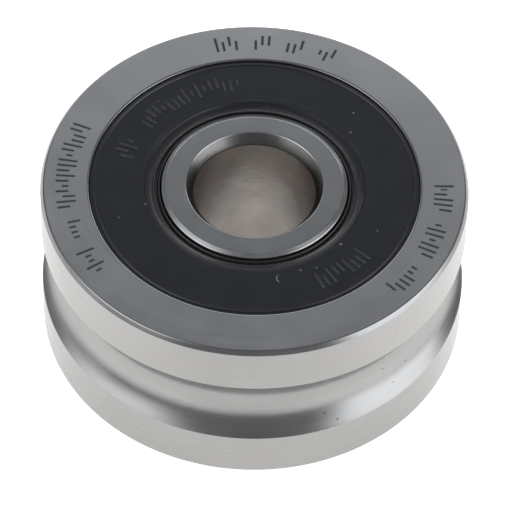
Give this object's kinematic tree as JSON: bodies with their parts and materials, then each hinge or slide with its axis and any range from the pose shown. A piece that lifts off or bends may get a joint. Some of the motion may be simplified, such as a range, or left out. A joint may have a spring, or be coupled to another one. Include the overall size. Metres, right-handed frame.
{
  "type": "grooved track roller",
  "caption": "Sealed ball-bearing track roller: a thick outer ring with an arched groove that runs along a round guide shaft, turning on an inner ring with a plain bore.",
  "frame": {"origin": "centre of the roller, on its axis and midway between its two faces", "axes": "+Z along the roller's axis, out of the upper face; +X and +Y are radial, and +X passes through the first ball of the upper row"},
  "size_m": [0.042, 0.042, 0.019],
  "materials": {
    "bearing_steel": "satin",
    "ball_steel": "polished",
    "cage_polyamide": "satin",
    "seal_rubber": "satin",
    "stiffener_steel": "satin"
  },
  "bodies": {
    "inner_ring": {"inner_ring": "bearing_steel"},
    "outer_ring": {"outer_ring": "bearing_steel", "seal_upper": "seal_rubber", "seal_lower": "seal_rubber", "stiffener_upper": "stiffener_steel", "stiffener_lower": "stiffener_steel"},
    "cage_upper": {"cage_upper": "cage_polyamide"},
    "cage_lower": {"cage_lower": "cage_polyamide"},
    "ball_upper_1": {"ball_upper_1": "ball_steel"},
    "ball_upper_2": {"ball_upper_2": "ball_steel"},
    "ball_upper_3": {"ball_upper_3": "ball_steel"},
    "ball_upper_4": {"ball_upper_4": "ball_steel"},
    "ball_upper_5": {"ball_upper_5": "ball_steel"},
    "ball_upper_6": {"ball_upper_6": "ball_steel"},
    "ball_upper_7": {"ball_upper_7": "ball_steel"},
    "ball_upper_8": {"ball_upper_8": "ball_steel"},
    "ball_upper_9": {"ball_upper_9": "ball_steel"},
    "ball_lower_1": {"ball_lower_1": "ball_steel"},
    "ball_lower_2": {"ball_lower_2": "ball_steel"},
    "ball_lower_3": {"ball_lower_3": "ball_steel"},
    "ball_lower_4": {"ball_lower_4": "ball_steel"},
    "ball_lower_5": {"ball_lower_5": "ball_steel"},
    "ball_lower_6": {"ball_lower_6": "ball_steel"},
    "ball_lower_7": {"ball_lower_7": "ball_steel"},
    "ball_lower_8": {"ball_lower_8": "ball_steel"},
    "ball_lower_9": {"ball_lower_9": "ball_steel"}
  },
  "joints": [
    {"name": "outer_ring_spin", "type": "hinge", "parent": "inner_ring", "child": "outer_ring", "pos_m": [0, 0, 0], "axis": [0, 0, 1], "continuous": true},
    {"name": "cage_upper_spin", "type": "hinge", "parent": "inner_ring", "child": "cage_upper", "pos_m": [0, 0, 0], "axis": [0, 0, 1], "continuous": true},
    {"name": "cage_lower_spin", "type": "hinge", "parent": "inner_ring", "child": "cage_lower", "pos_m": [0, 0, 0], "axis": [0, 0, 1], "continuous": true},
    {"name": "ball_upper_1_spin", "type": "hinge", "parent": "cage_upper", "child": "ball_upper_1", "pos_m": [0.0125, 0, 0.00375], "axis": [0.5, 0, 0.866], "continuous": true},
    {"name": "ball_upper_2_spin", "type": "hinge", "parent": "cage_upper", "child": "ball_upper_2", "pos_m": [0.00958, 0.00803, 0.00375], "axis": [0.383, 0.3214, 0.866], "continuous": true},
    {"name": "ball_upper_3_spin", "type": "hinge", "parent": "cage_upper", "child": "ball_upper_3", "pos_m": [0.00217, 0.01231, 0.00375], "axis": [0.0868, 0.4924, 0.866], "continuous": true},
    {"name": "ball_upper_4_spin", "type": "hinge", "parent": "cage_upper", "child": "ball_upper_4", "pos_m": [-0.00625, 0.01083, 0.00375], "axis": [-0.25, 0.433, 0.866], "continuous": true},
    {"name": "ball_upper_5_spin", "type": "hinge", "parent": "cage_upper", "child": "ball_upper_5", "pos_m": [-0.01175, 0.00428, 0.00375], "axis": [-0.4698, 0.171, 0.866], "continuous": true},
    {"name": "ball_upper_6_spin", "type": "hinge", "parent": "cage_upper", "child": "ball_upper_6", "pos_m": [-0.01175, -0.00428, 0.00375], "axis": [-0.4698, -0.171, 0.866], "continuous": true},
    {"name": "ball_upper_7_spin", "type": "hinge", "parent": "cage_upper", "child": "ball_upper_7", "pos_m": [-0.00625, -0.01083, 0.00375], "axis": [-0.25, -0.433, 0.866], "continuous": true},
    {"name": "ball_upper_8_spin", "type": "hinge", "parent": "cage_upper", "child": "ball_upper_8", "pos_m": [0.00217, -0.01231, 0.00375], "axis": [0.0868, -0.4924, 0.866], "continuous": true},
    {"name": "ball_upper_9_spin", "type": "hinge", "parent": "cage_upper", "child": "ball_upper_9", "pos_m": [0.00958, -0.00803, 0.00375], "axis": [0.383, -0.3214, 0.866], "continuous": true},
    {"name": "ball_lower_1_spin", "type": "hinge", "parent": "cage_lower", "child": "ball_lower_1", "pos_m": [0.01175, 0.00428, -0.00375], "axis": [-0.4698, -0.171, 0.866], "continuous": true},
    {"name": "ball_lower_2_spin", "type": "hinge", "parent": "cage_lower", "child": "ball_lower_2", "pos_m": [0.00625, 0.01083, -0.00375], "axis": [-0.25, -0.433, 0.866], "continuous": true},
    {"name": "ball_lower_3_spin", "type": "hinge", "parent": "cage_lower", "child": "ball_lower_3", "pos_m": [-0.00217, 0.01231, -0.00375], "axis": [0.0868, -0.4924, 0.866], "continuous": true},
    {"name": "ball_lower_4_spin", "type": "hinge", "parent": "cage_lower", "child": "ball_lower_4", "pos_m": [-0.00958, 0.00803, -0.00375], "axis": [0.383, -0.3214, 0.866], "continuous": true},
    {"name": "ball_lower_5_spin", "type": "hinge", "parent": "cage_lower", "child": "ball_lower_5", "pos_m": [-0.0125, 0, -0.00375], "axis": [0.5, 0, 0.866], "continuous": true},
    {"name": "ball_lower_6_spin", "type": "hinge", "parent": "cage_lower", "child": "ball_lower_6", "pos_m": [-0.00958, -0.00803, -0.00375], "axis": [0.383, 0.3214, 0.866], "continuous": true},
    {"name": "ball_lower_7_spin", "type": "hinge", "parent": "cage_lower", "child": "ball_lower_7", "pos_m": [-0.00217, -0.01231, -0.00375], "axis": [0.0868, 0.4924, 0.866], "continuous": true},
    {"name": "ball_lower_8_spin", "type": "hinge", "parent": "cage_lower", "child": "ball_lower_8", "pos_m": [0.00625, -0.01083, -0.00375], "axis": [-0.25, 0.433, 0.866], "continuous": true},
    {"name": "ball_lower_9_spin", "type": "hinge", "parent": "cage_lower", "child": "ball_lower_9", "pos_m": [0.01175, -0.00428, -0.00375], "axis": [-0.4698, 0.171, 0.866], "continuous": true}
  ],
  "couplings": [
    {"joint": "cage_upper_spin", "follows": "outer_ring_spin", "ratio": 0.60998},
    {"joint": "cage_lower_spin", "follows": "outer_ring_spin", "ratio": 0.60998},
    {"joint": "ball_upper_1_spin", "follows": "outer_ring_spin", "ratio": 1.8733},
    {"joint": "ball_upper_2_spin", "follows": "outer_ring_spin", "ratio": 1.8733},
    {"joint": "ball_upper_3_spin", "follows": "outer_ring_spin", "ratio": 1.8733},
    {"joint": "ball_upper_4_spin", "follows": "outer_ring_spin", "ratio": 1.8733},
    {"joint": "ball_upper_5_spin", "follows": "outer_ring_spin", "ratio": 1.8733},
    {"joint": "ball_upper_6_spin", "follows": "outer_ring_spin", "ratio": 1.8733},
    {"joint": "ball_upper_7_spin", "follows": "outer_ring_spin", "ratio": 1.8733},
    {"joint": "ball_upper_8_spin", "follows": "outer_ring_spin", "ratio": 1.8733},
    {"joint": "ball_upper_9_spin", "follows": "outer_ring_spin", "ratio": 1.8733},
    {"joint": "ball_lower_1_spin", "follows": "outer_ring_spin", "ratio": 1.8733},
    {"joint": "ball_lower_2_spin", "follows": "outer_ring_spin", "ratio": 1.8733},
    {"joint": "ball_lower_3_spin", "follows": "outer_ring_spin", "ratio": 1.8733},
    {"joint": "ball_lower_4_spin", "follows": "outer_ring_spin", "ratio": 1.8733},
    {"joint": "ball_lower_5_spin", "follows": "outer_ring_spin", "ratio": 1.8733},
    {"joint": "ball_lower_6_spin", "follows": "outer_ring_spin", "ratio": 1.8733},
    {"joint": "ball_lower_7_spin", "follows": "outer_ring_spin", "ratio": 1.8733},
    {"joint": "ball_lower_8_spin", "follows": "outer_ring_spin", "ratio": 1.8733},
    {"joint": "ball_lower_9_spin", "follows": "outer_ring_spin", "ratio": 1.8733}
  ]
}
